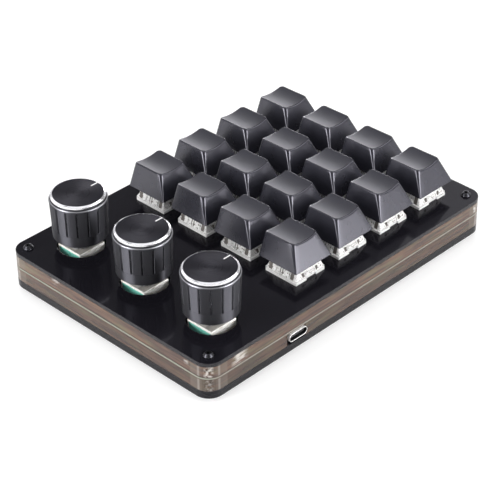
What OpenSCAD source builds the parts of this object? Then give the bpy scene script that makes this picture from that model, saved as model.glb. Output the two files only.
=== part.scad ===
// Macro keypad with a four by four field of sprung keys and three push-and-turn knobs.
// The origin is under the middle of the case, on the desk: X runs from the knobs to the last
// key column, Y from the socket side to the far side, and Z is up.

/* [Case layout] */
// Distance between neighbouring key centres
key_pitch = 22; // [20:0.5:26]
// From the last key column to the case's right edge
right_margin = 17; // [16.5:0.5:24]
// From the first key row to the case's near edge
near_margin = 18.5; // [17:0.5:24]
// From the last key row to the case's far edge
far_margin = 16.5; // [16:0.5:24]
// From the knob centres to the case's left edge
knob_margin = 20; // [18:0.5:26]
// From the knob centres to the first key column
knob_to_keys = 41; // [36:1:50]
// Radius of the case's upright corners
corner_r = 6; // [4:0.5:7]

/* [Case layers] */
// Thickness of the bottom plate
bottom_t = 3; // [2.5:0.5:5]
// Height of the lower clear frame
lower_t = 4.8; // [4:0.2:6]
// Thickness of the circuit board
board_t = 1; // [0.8:0.1:1.6]
// Height of the upper clear frame
upper_t = 4.2; // [3.8:0.1:5]
// Thickness of the top plate
top_t = 1.5; // [1:0.1:2]
// Width of the clear frames' walls
frame_wall = 5; // [4.5:0.25:6]
// Radius of the pad round each corner pillar
pad_r = 4.2; // [3.4:0.2:5]
// Height of the rubber feet
foot_h = 2; // [1.6:0.2:4]
// Radius of the rubber feet where they are stuck on
foot_r = 5; // [3:0.5:7]
// From the case's edges to the feet's centres
foot_inset = 15; // [12:1:22]

/* [Corner fasteners] */
// From the case's edges to the screws' centres
screw_inset = 5; // [4.5:0.25:6]
// Radius of the screws' shanks
screw_r = 1; // [0.8:0.1:1.25]
// Radius of the screws' heads
screw_head_r = 1.9; // [1.6:0.1:2.5]
// Height of the screws' heads
screw_head_h = 1.3; // [1:0.1:1.6]
// Depth that a screw reaches into its pillar
screw_bite = 2.2; // [1.5:0.1:2.6]
// Radius of the corner pillars
pillar_r = 2; // [1.7:0.1:2.4]

/* [Keycaps] */
// Side of the keycap at its foot
cap_w = 18.1; // [17.6:0.1:19]
// Height of the keycap, halfway between its front and back top edges
cap_h = 9.2; // [8.9:0.1:11]
// Width of the keycap's top
cap_top_w = 12.3; // [11.6:0.1:13.5]
// Depth of the keycap's top, front to back
cap_top_d = 13.6; // [13:0.1:14.4]
// How far the top sits behind the foot's middle
cap_top_back = 2.1; // [1.4:0.1:2.2]
// Slope of the top, positive when its back edge is higher
cap_tilt = -1; // [-3:1:6]
// Depth of the hollow in the top
dish_sag = 1; // [0.4:0.1:1.3]
// Thickness of the keycap's walls
cap_wall = 1.3; // [0.8:0.1:1.5]
// Thickness of the keycap's roof under the hollow
cap_roof = 1.6; // [1:0.1:2]
// Rounding of the upright edges at the foot
cap_foot_r = 0.7; // [0.4:0.1:1.2]
// Rounding of the upright edges at the top
cap_top_r = 1.2; // [0.8:0.1:2.5]
// Height of the keycap's foot over the top plate
cap_lift = 5.9; // [5.6:0.1:7]
// Radius of the socket post inside the keycap
post_r = 2.75; // [2.6:0.05:2.8]

/* [Key switches] */
// How far a key can be pressed
key_travel = 4; // [3:0.25:4]
// Side of the switch's rim on the top plate
rim_w = 15.6; // [15.2:0.1:16]
// Height of the rim
rim_h = 1; // [0.8:0.1:1.2]
// Side of the square cut-out that holds the switch
cutout_w = 14; // [13.9:0.05:14.2]
// Depth of the switch under the top plate's upper face
switch_depth = 5; // [4.9:0.05:5.1]
// Height of the switch's cover over the top plate
cover_h = 6.6; // [6.4:0.1:6.8]
// Width of the cover's top
cover_top_w = 10.8; // [10.4:0.1:11.2]
// Depth of the cover's top, front to back
cover_top_d = 10.4; // [10:0.1:10.6]
// Thickness of the switch's walls
switch_wall = 1; // [0.8:0.05:1.1]
// Span of the cross on the stem
cross_w = 4; // [3.9:0.05:4.1]
// Thickness of the cross's arms
cross_t = 1.2; // [1:0.05:1.3]
// Height of the cross over the switch's cover
cross_h = 3.6; // [3.2:0.1:3.8]
// Radius of the coil spring
spring_r = 1.9; // [1.8:0.05:2]

/* [Knobs and encoders] */
// Largest radius of the knob
knob_r = 10.5; // [9.6:0.1:11]
// Height of the knob
knob_h = 17.1; // [16.5:0.1:20]
// How much smaller the knob's radius is at its foot
knob_taper = 0.6; // [0:0.05:0.8]
// Height of the knob's foot over the top plate
knob_lift = 4.5; // [3.8:0.1:4.8]
// Number of grooves round the knob
groove_count = 16; // [8:1:24]
// Radius of each groove
groove_r = 0.45; // [0.3:0.05:0.7]
// How far a knob can be pushed
push_travel = 0.5; // [0.3:0.1:0.6]
// Clearance between an encoder's corners and the round hole in the top plate
knob_hole_gap = 0.53; // [0.3:0.01:1]
// Side of the encoder's square body
encoder_w = 11.7; // [11.4:0.1:12]
// Height of the encoder's top over the top plate
encoder_proud = 0.5; // [0.2:0.1:0.8]
// Radius of the encoder's shaft
shaft_r = 3; // [2.9:0.05:3.1]
// Radius of the encoder's bushing
bushing_r = 3.5; // [3.4:0.05:3.8]
// Height of the encoder's bushing
bushing_h = 5; // [4.6:0.1:5.2]

/* [USB-C socket] */
// From the case's middle to the socket's middle, towards the knobs
usb_offset = 30; // [26:1:34]
// Width of the socket's shell
usb_w = 8.94; // [8.8:0.02:9]
// Height of the socket's shell
usb_h = 3.2; // [3:0.05:3.3]
// Length of the socket's shell
usb_l = 7.3; // [7:0.1:9]
// How far the socket stands out of the case
usb_proud = 1; // [0.4:0.1:1.6]
// Thickness of the socket's sheet metal
usb_t = 0.3; // [0.2:0.05:0.4]

/* [Hidden] */
columns = 4;
rows = 4;
knobs = 3;
KEYS = [for (r = [1 : rows]) for (c = [1 : columns]) [r, c]];
function key_name(kind, key) = str(kind, "_r", key[0], "_c", key[1]);
function knob_name(kind, k) = str(kind, "_", k);

$fn = 64;
// the facets of a circle that is only a corner of a blended shape
blend_fn = 32;
// how far a cut runs past the face that it opens
overrun = 0.5;
// thickness of the slices that a blended shape runs between
slice_t = 0.02;

// fits: between a fixed piece and its hole, round a turning or sliding pin, and between moving pieces
seat_gap = 0.025;
slot_gap = 0.1;
run_gap = 0.05;
free_gap = 0.3;

// the case, its layers from the desk up, and the places on it
case_w = knob_margin + knob_to_keys + (columns - 1) * key_pitch + right_margin;
case_d = near_margin + (rows - 1) * key_pitch + far_margin;
case_y = usb_proud / 2;
bottom_z = foot_h;
lower_z = bottom_z + bottom_t;
board_z = lower_z + lower_t;
upper_z = board_z + board_t;
top_z = upper_z + upper_t;
deck_z = top_z + top_t;
corners = [[-1, -1], [1, -1], [-1, 1], [1, 1]];
function key_x(c) = case_w / 2 - right_margin - (columns - c) * key_pitch;
function key_y(r) = case_y - case_d / 2 + near_margin + (r - 1) * key_pitch;
knob_x = knob_margin - case_w / 2;
knob_pitch = (rows - 1) * key_pitch / (knobs - 1);
function knob_y(k) = key_y(1) + (k - 1) * knob_pitch;
usb_y = case_y - case_d / 2 - usb_proud;

// rubber feet, narrower on the desk
foot_taper = 0.6;

// screws with a button head and a hexagon socket, and the pillars that they hold
head_rim_share = 0.35;
head_top_share = 0.6;
hex_r = 0.7;
hex_depth_share = 0.6;
screw_hole_gap = 0.1;
stud_l = 1.2;
pillar_floor = 0.6;

// switch housing, measured from the top plate's upper face
body_w = cutout_w - 2 * seat_gap;
rim_chamfer = 1;
notch_w = 4.8;
notch_depth = 0.7;
floor_t = 1.2;
floor_z = floor_t - switch_depth;
clip_w = 5;
clip_h = 0.8;
clip_proud = 0.25;
clip_gap = 0.05;
peg_r = 2;
peg_l = 3.3;
side_peg_r = 0.85;
side_peg_x = 5.08;
pin_w = 1;
pin_t = 0.4;
pin_hole_r = 0.75;
pin_places = [[-3.81, 2.54], [2.54, 5.08]];
leaf_y = 5.2;
leaf_top = 2.2;
leaf_foot_t = 0.3;
tube_r = 1.3;
tube_drop = 1.4;
rod_r = 0.8;
rod_bore_floor = 1.2;

// switch cover
cover_foot_w = 14.2;
cover_step_h = 0.8;
cover_roof = 1.2;
opening_w = 6.7;
opening_d = 6.2;
lens_w = 6;
lens_depth = 1.2;
lens_h = 2.2;

// latches that stand on the rim, in recesses of the cover's left and right walls
latch_t = 0.5;
latch_w = 1.7;
latch_h = 2.4;
latch_y = 3;

// key stem, whose slider hangs under the cover's roof
slider_w = 7.8;
slider_d = 6.8;
slider_stop_gap = 0.4;
slider_top = cover_h - cover_roof - slot_gap;
slider_foot = floor_z + leaf_foot_t + slider_stop_gap + key_travel;
slider_h = slider_top - slider_foot;
pocket_depth = 3.3;
pocket_top = slider_foot + pocket_depth;
tube_top = pocket_top - key_travel - tube_drop;
rod_reach = 2.8;
stem_top = cover_h + cross_h;
spring_t = 0.3;

// inside of the keycap, measured from its foot
cap_ceiling = cap_h - dish_sag - cap_roof;
ceiling_share = cap_ceiling / cap_h;
dish_over = 0.4;
dish_half = cap_top_w / 2 + dish_over;
dish_r = (pow(dish_half, 2) + pow(dish_sag, 2)) / (2 * dish_sag);
post_rise = 0.3;
socket_top = stem_top - cap_lift + slot_gap;

// encoder, measured from the circuit board's upper face
encoder_h = top_t + upper_t + encoder_proud;
frame_t = 0.5;
body_floor = 0.6;
room_wall = 1.25;
rotor_room_r = encoder_w / 2 - room_wall;
rotor_gap = 0.4;
rotor_r = rotor_room_r - rotor_gap;
rotor_h = 1;
plunger_step = 0.2;
plunger_r = rotor_r - plunger_step;
plunger_h = 1;
plunger_gap = 0.2;
plunger_z = body_floor + plunger_gap + push_travel;
rotor_z = plunger_z + plunger_h + seat_gap;
collar_r = 4.6;
collar_h = 0.8;
flat_share = 0.5;
flat_x = shaft_r * flat_share;
flat_lead = 0.2;
terminal_w = 0.8;
terminal_t = 0.4;
terminal_reach = 1.65;
terminal_x = encoder_w / 2 + terminal_reach;
terminal_l = 3;
terminal_hole_r = 0.6;
terminal_pitch = 2.5;
terminal_places = [[-1, -1], [-1, 0], [-1, 1], [1, -1], [1, 1]];
leg_w = 2;
leg_l = 2.8;
leg_slot_gap = 0.2;

// knob, measured from its foot: heights down from the top, radii in from the largest one
disc_inset = 1.35;
disc_sink = 0.12;
disc_lip = 0.15;
rim_inset = 0.45;
ring_drop = 0.55;
rim_side_h = 0.55;
neck_inset = 0.95;
neck_h = 0.5;
shoulder_inset = 0.35;
shoulder_h = 0.4;
shoulder_z = knob_h - ring_drop - rim_side_h - neck_h - shoulder_h;
foot_chamfer = 0.3;
groove_foot = 4.4;
groove_top = shoulder_z - shoulder_h;
groove_out = 0.08;
groove_tilt = atan(knob_taper / shoulder_z);
knob_shell_t = 1.7;
hub_r = 4.8;
hub_foot = bushing_h + encoder_proud - knob_lift + push_travel + free_gap;
hollow_top = 12;
knob_roof = 3;
shaft_top = knob_lift + knob_h - knob_roof;
pointer_w = 0.8;
pointer_depth = 0.15;
pointer_in = 6.2;
pointer_inset = 1;

// socket's inside, and the parts on the board's lower face
tongue_w = 6.7;
tongue_t = 0.7;
tongue_sink = 0.7;
tongue_foot_l = 1.6;
usb_slot_gap = 0.4;
chip_w = 7;
chip_h = 1;
chip_row = 2;
diode_w = 2.7;
diode_d = 1.6;
diode_h = 1.1;
diode_y = -5.2;

// a block that stands on its middle
module block(w, d, h) {
    translate([-w / 2, -d / 2, 0]) cube([w, d, h]);
}

module rounded(w, d, r) {
    square([w - 2 * r, d], center = true);
    square([w, d - 2 * r], center = true);
    for (s = corners) translate([s[0] * (w / 2 - r), s[1] * (d / 2 - r)]) circle(r);
}

// a bar with round ends
module slot(w, h) {
    square([w - h, h], center = true);
    for (s = [-1, 1]) translate([s * (w - h) / 2, 0]) circle(h / 2);
}

module at_case(z) {
    translate([0, case_y, z]) children();
}

module each_corner(inset) {
    for (s = corners) translate([s[0] * (case_w / 2 - inset), s[1] * (case_d / 2 - inset)]) children();
}

module at_key(key) {
    translate([key_x(key[1]), key_y(key[0]), deck_z]) children();
}

// the same places, flat, inside at_case
module each_key_hole() {
    for (key = KEYS) translate([key_x(key[1]), key_y(key[0]) - case_y]) children();
}

module each_knob_hole() {
    for (k = [1 : knobs]) translate([knob_x, knob_y(k) - case_y]) children();
}

module at_knob(k, z) {
    translate([knob_x, knob_y(k), z]) children();
}

module outline() {
    rounded(case_w, case_d, corner_r);
}

module screw_holes() {
    each_corner(screw_inset) circle(screw_r + screw_hole_gap);
}

// a clear frame: a wall all round, with a pad at each pillar
module frame_outline() {
    difference() {
        outline();
        difference() {
            square([case_w - 2 * frame_wall, case_d - 2 * frame_wall], center = true);
            each_corner(screw_inset) circle(pad_r);
        }
        each_corner(screw_inset) circle(pillar_r + slot_gap);
    }
}

module bottom_plate() {
    color("#2b2b2f") at_case(bottom_z) linear_extrude(bottom_t) difference() {
        outline();
        screw_holes();
    }
}

module lower_frame() {
    color("#8a7d75", 0.6) at_case(lower_z) linear_extrude(lower_t) difference() {
        frame_outline();
        translate([-usb_offset, (frame_wall - case_d) / 2])
            square([usb_w + 2 * usb_slot_gap, frame_wall + 2 * overrun], center = true);
    }
}

module upper_frame() {
    color("#8a7d75", 0.6) at_case(upper_z) linear_extrude(upper_t) frame_outline();
}

module circuit_board() {
    color("#9aa08c") at_case(board_z) linear_extrude(board_t) difference() {
        outline();
        screw_holes();
        each_key_hole() {
            circle(peg_r + slot_gap);
            for (s = [-1, 1]) translate([s * side_peg_x, 0]) circle(side_peg_r + slot_gap);
            for (p = pin_places) translate(p) circle(pin_hole_r);
        }
        each_knob_hole() {
            for (p = terminal_places)
                translate([p[0] * terminal_x, p[1] * terminal_pitch]) circle(terminal_hole_r);
            for (s = [-1, 1]) translate([0, s * (encoder_w - frame_t) / 2])
                square([leg_w + 2 * leg_slot_gap, frame_t + 2 * leg_slot_gap], center = true);
        }
    }
}

module top_plate() {
    color("#17171b") at_case(top_z) linear_extrude(top_t) difference() {
        outline();
        screw_holes();
        each_key_hole() square(cutout_w, center = true);
        each_knob_hole() circle(encoder_w * sqrt(2) / 2 + knob_hole_gap);
    }
}

module rubber_feet() {
    color("#1c1c1c") at_case(0) each_corner(foot_inset)
        cylinder(h = foot_h, r1 = foot_r - foot_taper, r2 = foot_r);
}

// an upper pillar with a stud that goes through the board into a lower one
module corner_pillars() {
    color("#c9c4b4") at_case(0) each_corner(screw_inset) {
        translate([0, 0, upper_z]) difference() {
            cylinder(h = upper_t, r = pillar_r);
            translate([0, 0, pillar_floor]) cylinder(h = upper_t, r = screw_r + run_gap);
        }
        translate([0, 0, board_z - stud_l]) cylinder(h = stud_l + board_t + pillar_floor / 2, r = screw_r);
        translate([0, 0, lower_z]) difference() {
            cylinder(h = lower_t, r = pillar_r);
            translate([0, 0, -overrun]) cylinder(h = lower_t + 2 * overrun, r = screw_r + run_gap);
        }
    }
}

// a screw that points down, with its head's seat at zero
module screw(l) {
    rim = screw_head_h * head_rim_share;
    hex_depth = screw_head_h * hex_depth_share;
    difference() {
        union() {
            cylinder(h = rim, r = screw_head_r);
            translate([0, 0, rim])
                cylinder(h = screw_head_h - rim, r1 = screw_head_r, r2 = screw_head_r * head_top_share);
        }
        translate([0, 0, screw_head_h - hex_depth]) cylinder(h = hex_depth + overrun, r = hex_r, $fn = 6);
    }
    translate([0, 0, -l]) cylinder(h = l, r = screw_r);
}

module corner_screws() {
    color("#202024") at_case(0) each_corner(screw_inset) {
        translate([0, 0, deck_z]) screw(top_t + screw_bite);
        translate([0, 0, bottom_z]) rotate([180, 0, 0]) screw(bottom_t + screw_bite);
    }
}

// along Y, from the socket's mouth inwards
module at_usb(from, l) {
    translate([-usb_offset, usb_y + from + l, board_z - usb_h / 2]) rotate([90, 0, 0]) linear_extrude(l)
        children();
}

module usb_c_shell() {
    color("#d8d8dc") at_usb(0, usb_l) difference() {
        slot(usb_w, usb_h);
        slot(usb_w - 2 * usb_t, usb_h - 2 * usb_t);
    }
}

module usb_c_tongue() {
    inside = 2 * (usb_t + seat_gap);
    color("#26262a") {
        at_usb(usb_l - tongue_foot_l, tongue_foot_l) slot(usb_w - inside, usb_h - inside);
        at_usb(tongue_sink, usb_l - tongue_sink) square([tongue_w, tongue_t], center = true);
    }
}

module board_chips() {
    color("#1e1e20") {
        translate([-usb_offset, key_y(chip_row), board_z - chip_h]) block(chip_w, chip_w, chip_h);
        for (key = KEYS) translate([key_x(key[1]), key_y(key[0]) + diode_y, board_z - diode_h])
            block(diode_w, diode_d, diode_h);
    }
}

// a square with two corners cut off, and a notch in its near and far sides
module rim_outline() {
    a = rim_w / 2;
    b = a - rim_chamfer;
    c = notch_w / 2;
    d = a - notch_depth;
    polygon([[-a, -a], [-c, -a], [-c, -d], [c, -d], [c, -a], [b, -a], [a, -b], [a, a], [c, a], [c, d],
        [-c, d], [-c, a], [-b, a], [-a, b]]);
}

module each_latch() {
    for (s = [-1, 1]) for (t = [-1, 1])
        translate([s * (cover_foot_w - latch_t) / 2, t * latch_y, rim_h]) children();
}

module switch_base() {
    difference() {
        union() {
            linear_extrude(rim_h) rim_outline();
            each_latch() block(latch_t, latch_w, latch_h);
            translate([0, 0, -switch_depth]) block(body_w, body_w, switch_depth);
            for (s = [-1, 1]) translate([0, s * body_w / 2, -top_t - clip_gap - clip_h])
                block(clip_w, 2 * clip_proud, clip_h);
            translate([0, 0, -switch_depth - peg_l]) {
                cylinder(h = peg_l, r = peg_r);
                for (s = [-1, 1]) translate([s * side_peg_x, 0, 0]) cylinder(h = peg_l, r = side_peg_r);
            }
        }
        translate([0, 0, floor_z])
            block(body_w - 2 * switch_wall, body_w - 2 * switch_wall, rim_h - floor_z + overrun);
        translate([0, 0, rod_bore_floor - peg_l - switch_depth])
            cylinder(h = peg_l + floor_t, r = rod_r + run_gap);
        for (p = pin_places) translate([p[0], p[1], -switch_depth - overrun])
            block(pin_w + 2 * slot_gap, pin_t + 2 * slot_gap, floor_t + 2 * overrun);
    }
    translate([0, 0, floor_z]) difference() {
        cylinder(h = tube_top - floor_z, r = tube_r);
        translate([0, 0, -overrun]) cylinder(h = tube_top - floor_z + 2 * overrun, r = rod_r + run_gap);
    }
}

module switch_bases() {
    color("#e9e9ea") for (key = KEYS) at_key(key) switch_base();
}

// a block that narrows upwards
module tapered(foot_w, foot_d, top_w, top_d, h) {
    linear_extrude(height = h, scale = [top_w / foot_w, top_d / foot_d], slices = 1, segments = 4)
        square([foot_w, foot_d], center = true);
}

module switch_cover() {
    step_z = rim_h + cover_step_h;
    inner_foot = cover_foot_w - 2 * switch_wall;
    difference() {
        union() {
            translate([0, 0, rim_h]) block(cover_foot_w, cover_foot_w, cover_step_h);
            translate([0, 0, step_z])
                tapered(cover_foot_w, cover_foot_w, cover_top_w, cover_top_d, cover_h - step_z);
        }
        translate([0, 0, rim_h - overrun]) block(body_w - 2 * switch_wall, inner_foot, 2 * overrun);
        translate([0, 0, rim_h])
            tapered(inner_foot, inner_foot, cover_top_w - 2 * switch_wall, cover_top_d - 2 * switch_wall,
                cover_h - cover_roof - rim_h);
        each_latch() translate([0, 0, -overrun])
            block(latch_t + 2 * slot_gap, latch_w + 2 * slot_gap, latch_h + slot_gap + overrun);
        translate([0, 0, cover_h - cover_roof - overrun]) block(opening_w, opening_d, cover_roof + 2 * overrun);
        translate([0, -cover_foot_w / 2, cover_h - lens_h]) block(lens_w, 2 * (lens_depth + cover_foot_w / 2
            - cover_top_d / 2), lens_h + overrun);
    }
}

module switch_covers() {
    color("#f2f2f4", 0.9) for (key = KEYS) at_key(key) switch_cover();
}

// a pin through the floor, with a leaf that stands beside the slider
module switch_contact(p) {
    translate([p[0], p[1], -switch_depth - peg_l]) block(pin_w, pin_t, peg_l + floor_t);
    translate([p[0], (p[1] + leaf_y) / 2, floor_z]) block(pin_w, leaf_y - p[1] + pin_t, leaf_foot_t);
    translate([p[0], leaf_y, floor_z]) block(pin_w, pin_t, leaf_top - floor_z);
}

module switch_contacts() {
    color("#c8a24a") for (key = KEYS) at_key(key) for (p = pin_places) switch_contact(p);
}

module switch_springs() {
    color("#b9bcc0") for (key = KEYS) at_key(key) translate([0, 0, floor_z]) difference() {
        l = pocket_top - floor_z - seat_gap;
        cylinder(h = l, r = spring_r);
        translate([0, 0, -overrun]) cylinder(h = l + 2 * overrun, r = spring_r - spring_t);
    }
}

module key_stem(key) {
    color("#3a6ea8") at_key(key) {
        difference() {
            translate([0, 0, slider_foot]) block(slider_w, slider_d, slider_h);
            translate([0, 0, slider_foot - overrun])
                cylinder(h = pocket_depth + overrun, r = spring_r + free_gap);
        }
        translate([0, 0, slider_foot - rod_reach])
            cylinder(h = rod_reach + (pocket_depth + slider_h) / 2, r = rod_r);
        translate([0, 0, slider_top]) {
            block(cross_w, cross_t, stem_top - slider_top);
            block(cross_t, cross_w, stem_top - slider_top);
        }
    }
}

// the keycap's walls, from its foot to a share of its height, with its sides moved in
module cap_blend(share, inset, foot_round, top_round) {
    top_w = cap_w + (cap_top_w - cap_w) * share - 2 * inset;
    top_d = cap_w + (cap_top_d - cap_w) * share - 2 * inset;
    hull($fn = blend_fn) {
        linear_extrude(slice_t) rounded(cap_w - 2 * inset, cap_w - 2 * inset, foot_round);
        translate([0, cap_top_back * share, cap_h * share]) rotate([cap_tilt, 0, 0])
            translate([0, 0, -slice_t]) linear_extrude(slice_t) rounded(top_w, top_d, top_round);
    }
}

module keycap(key) {
    color("#45454b") at_key(key) translate([0, 0, cap_lift]) {
        difference() {
            cap_blend(1, 0, cap_foot_r, cap_top_r);
            translate([0, cap_top_back, cap_h - dish_sag + dish_r]) rotate([90 + cap_tilt, 0, 0])
                cylinder(h = 2 * cap_w, r = dish_r, center = true);
            translate([0, 0, -slice_t])
                cap_blend(ceiling_share, cap_wall, cap_foot_r / 2, cap_top_r / 2);
        }
        translate([0, 0, post_rise]) difference() {
            cylinder(h = cap_ceiling + cap_roof / 2 - post_rise, r = post_r);
            for (turn = [0, 90]) rotate(turn) translate([0, 0, -overrun])
                block(cross_w + 2 * seat_gap, cross_t + 2 * seat_gap, socket_top - post_rise + overrun);
        }
    }
}

module encoder_bodies() {
    depth = encoder_w - 2 * (frame_t + seat_gap);
    color("#3fae96") for (k = [1 : knobs]) at_knob(k, upper_z) difference() {
        block(encoder_w, depth, encoder_h - frame_t);
        translate([0, 0, body_floor]) cylinder(h = encoder_h, r = rotor_room_r);
    }
}

// sheet metal over the encoder, down two of its sides, with a leg through the board on each
module encoder_frames() {
    color("#c9cacc") for (k = [1 : knobs]) at_knob(k, upper_z) {
        difference() {
            translate([0, 0, encoder_h - frame_t]) block(encoder_w, encoder_w, frame_t);
            cylinder(h = encoder_h + overrun, r = shaft_r + slot_gap);
        }
        for (s = [-1, 1]) translate([0, s * (encoder_w - frame_t) / 2, 0]) {
            block(encoder_w, frame_t, encoder_h - frame_t);
            translate([0, 0, -leg_l]) block(leg_w, frame_t, leg_l);
        }
    }
}

module encoder_bushings() {
    color("#b5b6b8") for (k = [1 : knobs]) at_knob(k, upper_z + encoder_h) difference() {
        union() {
            cylinder(h = collar_h, r = collar_r);
            cylinder(h = bushing_h, r = bushing_r);
        }
        translate([0, 0, -overrun]) cylinder(h = bushing_h + 2 * overrun, r = shaft_r + run_gap);
    }
}

module encoder_pins() {
    color("#d0c9a8") for (k = [1 : knobs]) at_knob(k, upper_z) for (p = terminal_places)
        translate([0, p[1] * terminal_pitch, 0]) {
            out = terminal_x + terminal_t / 2 - encoder_w / 2;
            translate([p[0] * (encoder_w / 2 + out / 2), 0, 0]) block(out, terminal_w, terminal_t);
            translate([p[0] * terminal_x, 0, -terminal_l]) block(terminal_t, terminal_w, terminal_l);
        }
}

module encoder_plunger(k) {
    color("#1d1d1f") at_knob(k, upper_z + plunger_z) cylinder(h = plunger_h, r = plunger_r);
}

// a rotor, a shoulder that the frame holds down, and a shaft with a flat for the knob
module encoder_shaft(k) {
    color("#a9aaad") at_knob(k, upper_z) difference() {
        translate([0, 0, rotor_z]) {
            cylinder(h = rotor_h, r = rotor_r);
            cylinder(h = encoder_h - frame_t - slot_gap - rotor_z, r = bushing_r);
            cylinder(h = deck_z + shaft_top - upper_z - rotor_z, r = shaft_r);
        }
        translate([flat_x, -shaft_r, deck_z + knob_lift + hub_foot - flat_lead - upper_z])
            cube([shaft_r, 2 * shaft_r, shaft_top]);
    }
}

module knob_profile() {
    rim_r = knob_r - rim_inset;
    disc_r = knob_r - disc_inset;
    neck_top = shoulder_z + shoulder_h + neck_h;
    foot_outer = knob_r - knob_taper;
    shell_r = foot_outer - knob_shell_t;
    polygon([[0, hub_foot], [hub_r, hub_foot], [hub_r, hollow_top], [shell_r, hollow_top], [shell_r, 0],
        [foot_outer - foot_chamfer, 0], [foot_outer, foot_chamfer], [knob_r, shoulder_z],
        [knob_r - shoulder_inset, shoulder_z + shoulder_h], [knob_r - neck_inset, shoulder_z + shoulder_h],
        [knob_r - neck_inset, neck_top], [rim_r, neck_top], [rim_r, knob_h - ring_drop], [disc_r, knob_h],
        [disc_r - disc_lip, knob_h - disc_sink], [0, knob_h - disc_sink]]);
}

module knob(k) {
    color("#34343a") at_knob(k, deck_z + knob_lift) difference() {
        rotate_extrude() knob_profile();
        difference() {
            cylinder(h = knob_h - knob_roof + seat_gap, r = shaft_r + seat_gap);
            translate([flat_x + seat_gap, -knob_r, 0]) cube([knob_r, 2 * knob_r, knob_h]);
        }
        for (n = [1 : groove_count]) rotate(n * 360 / groove_count)
            translate([knob_r + groove_out, 0, groove_top]) rotate([0, 180 + groove_tilt, 0])
                cylinder(h = groove_top - groove_foot, r = groove_r);
        translate([pointer_in, -pointer_w / 2, knob_h - disc_sink - pointer_depth])
            cube([knob_r - pointer_inset - pointer_in, pointer_w, disc_sink + pointer_depth + overrun]);
    }
}

bottom_plate();
lower_frame();
circuit_board();
upper_frame();
top_plate();
rubber_feet();
corner_pillars();
corner_screws();
usb_c_shell();
usb_c_tongue();
board_chips();
switch_bases();
switch_covers();
switch_contacts();
switch_springs();
encoder_bodies();
encoder_frames();
encoder_bushings();
encoder_pins();
for (key = KEYS) {
    keycap(key);
    key_stem(key);
}
for (k = [1 : knobs]) {
    knob(k);
    encoder_shaft(k);
    encoder_plunger(k);
}
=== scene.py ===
import math
from functools import reduce

import bmesh
import bpy
import numpy as np
from mathutils import Matrix, Vector
from mathutils.geometry import tessellate_polygon


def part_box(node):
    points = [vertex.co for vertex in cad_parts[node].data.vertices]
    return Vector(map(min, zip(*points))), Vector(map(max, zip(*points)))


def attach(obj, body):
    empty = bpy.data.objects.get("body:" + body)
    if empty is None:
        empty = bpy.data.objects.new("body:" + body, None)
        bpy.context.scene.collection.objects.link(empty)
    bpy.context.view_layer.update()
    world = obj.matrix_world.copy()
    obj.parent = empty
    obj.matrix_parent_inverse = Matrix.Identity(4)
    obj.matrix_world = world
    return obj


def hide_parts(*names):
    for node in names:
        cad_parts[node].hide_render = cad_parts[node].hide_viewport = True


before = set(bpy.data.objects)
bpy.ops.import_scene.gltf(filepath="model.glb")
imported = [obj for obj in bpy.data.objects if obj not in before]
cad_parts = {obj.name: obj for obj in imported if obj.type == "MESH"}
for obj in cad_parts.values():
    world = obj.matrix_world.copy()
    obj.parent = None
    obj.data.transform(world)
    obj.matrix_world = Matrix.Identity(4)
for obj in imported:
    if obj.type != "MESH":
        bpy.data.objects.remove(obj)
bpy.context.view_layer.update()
scene = bpy.context.scene

# Lengths are in millimetres here, and MM takes them to the frame's metres.
MM = 0.001
ROWS = (1, 2, 3, 4)
COLUMNS = (1, 2, 3, 4)
KNOBS = (1, 2, 3)
SIDES = (-1, 1)
UP = (0, 0, 1)
DOWN = (0, 0, -1)
# an extra row of points this far beyond a rounding keeps the face beside it flat
SUPPORT = 0.03
# how far the middle of a round edge stands in from both its faces, as a share of its radius
MIDWAY = 1 - math.sqrt(0.5)
# a rectangle's corners, anticlockwise: their sides, and where their arcs start
QUARTERS = ((1, 1, 0), (-1, 1, 90), (-1, -1, 180), (1, -1, 270))


def spread(node):
    """The corners of a CAD node's box, in millimetres."""
    low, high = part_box(node)
    return [c / MM for c in low], [c / MM for c in high]


def middle(node):
    return tuple((a + b) / 2 for a, b in zip(*spread(node)))


def half_size(node):
    return tuple((b - a) / 2 for a, b in zip(*spread(node)))


def heights(node):
    return [corner[2] for corner in spread(node)]


CASE_AT = middle("top_plate")[:2]
CASE_HALF = half_size("top_plate")[:2]
CASE_FRONT = spread("top_plate")[0][1]
CASE_FOOT = heights("bottom_plate")[0]
DECK = heights("top_plate")[1]
BOARD_FOOT, BOARD_TOP = heights("circuit_board")
KEY_AT = {(r, c): middle(f"keycap_r{r}_c{c}")[:2] for r in ROWS for c in COLUMNS}
KNOB_AT = {k: middle(f"knob_{k}")[:2] for k in KNOBS}
# how far the corner screws and pillars stand in from the sides of the case
INSET = 5


# Meshes

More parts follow.
